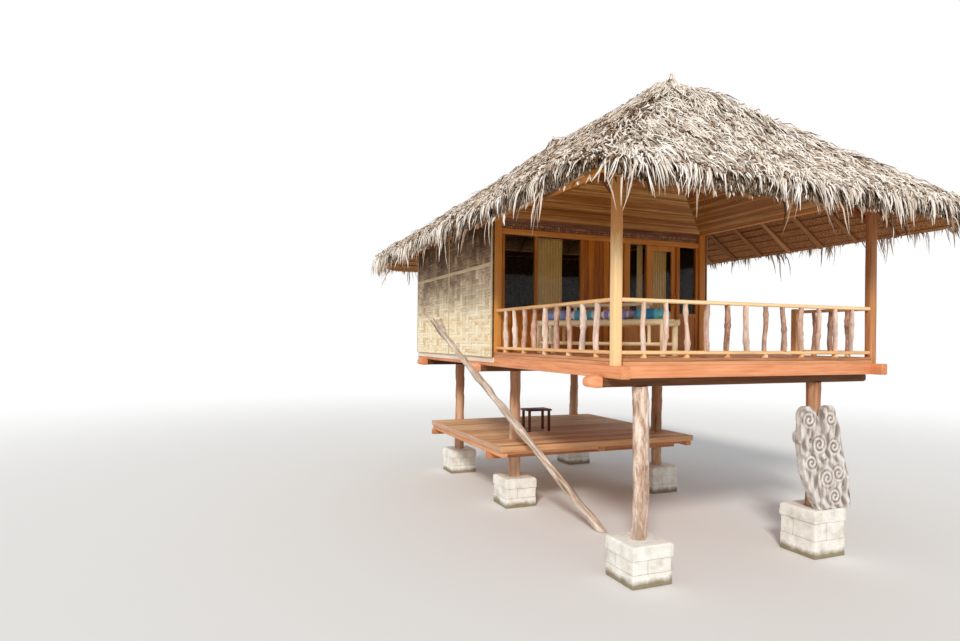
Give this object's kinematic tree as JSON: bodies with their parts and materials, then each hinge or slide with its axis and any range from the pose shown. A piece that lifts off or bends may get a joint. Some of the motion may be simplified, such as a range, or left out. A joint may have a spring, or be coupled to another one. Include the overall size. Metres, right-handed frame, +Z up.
{
  "type": "stilt house",
  "caption": "Thatched timber house on log stilts, with a railed veranda, a glazed front and a hinged door.",
  "frame": {"origin": "middle of the plan, at the waterline where the footings meet ground or water", "axes": "+X to the right along the veranda front, +Y to the back of the house, +Z up"},
  "size_m": [6.36, 9.86, 7.338],
  "materials": {
    "concrete": "weathered cast concrete with a brown-green waterline",
    "round_log": "debarked log, weathered",
    "beam_wood": "salmon-orange sawn hardwood",
    "joist_wood": "sawn hardwood, weathered",
    "deck_wood": "deck boards",
    "floor_wood": "dark floor boards",
    "post_wood": "oiled square post",
    "frame_wood": "oiled orange-brown joinery",
    "board_wood": "oiled orange-brown boarding",
    "carved_wood": "dark carved band and rails",
    "plate_wood": "shaded plates and rafters",
    "matting": "plaited bamboo matting",
    "batten": "pale split bamboo batten",
    "branch": "peeled branches and pale rails",
    "ceiling_bamboo": "split bamboo strips",
    "thatch": "weathered palm-leaf thatch",
    "platform_wood": "weathered platform boards",
    "table_wood": "dark stained wood",
    "grey_log": "grey-brown bark",
    "grey_carving": "silver-grey weathered carving",
    "bamboo": "straw-coloured bamboo poles",
    "glass": "clear window glass",
    "hinge_metal": "blackened steel",
    "curtain": "ochre woven curtain",
    "cushion": "blue and teal cotton covers"
  },
  "bodies": {
    "house": {"footings": "concrete", "stilts": "round_log", "girders": "beam_wood", "side_beams": "beam_wood", "floor_beams": "beam_wood", "joists": "joist_wood", "veranda_deck": "deck_wood", "room_floor": "floor_wood", "veranda_posts": "post_wood", "corner_posts": "frame_wood", "side_plates": "plate_wood", "cross_plates": "plate_wood", "left_wall": "matting", "right_wall": "matting", "back_wall": "matting", "wall_battens": "batten", "front_boarding": "board_wood", "window_frame": "frame_wood", "side_lights": "frame_wood", "front_head": "carved_wood", "front_glass": "glass", "door_hinges": "hinge_metal", "fixed_curtains": "curtain", "curtain_rails": "carved_wood", "railing_left": "branch", "railing_front": "branch", "railing_right": "branch", "veranda_ceiling": "ceiling_bamboo", "ridge_pole": "plate_wood", "rafters": "plate_wood", "thatch_left": "thatch", "thatch_right": "thatch", "thatch_front": "thatch", "thatch_back": "thatch", "ridge_cap": "thatch", "platform_ledgers": "platform_wood", "platform_bearers": "platform_wood", "lower_platform": "platform_wood", "low_table": "table_wood", "leaning_log": "grey_log", "carved_slab": "grey_carving", "bench": "bamboo", "bench_cushions": "cushion"},
    "door": {"door_leaf": "frame_wood", "door_glass": "glass", "door_curtain": "curtain"}
  },
  "joints": [
    {"name": "door_hinge", "type": "hinge", "parent": "house", "child": "door", "pos_m": [0.9725, -0.298, 3.79], "axis": [0, 0, 1], "range_deg": [0, 95]}
  ]
}
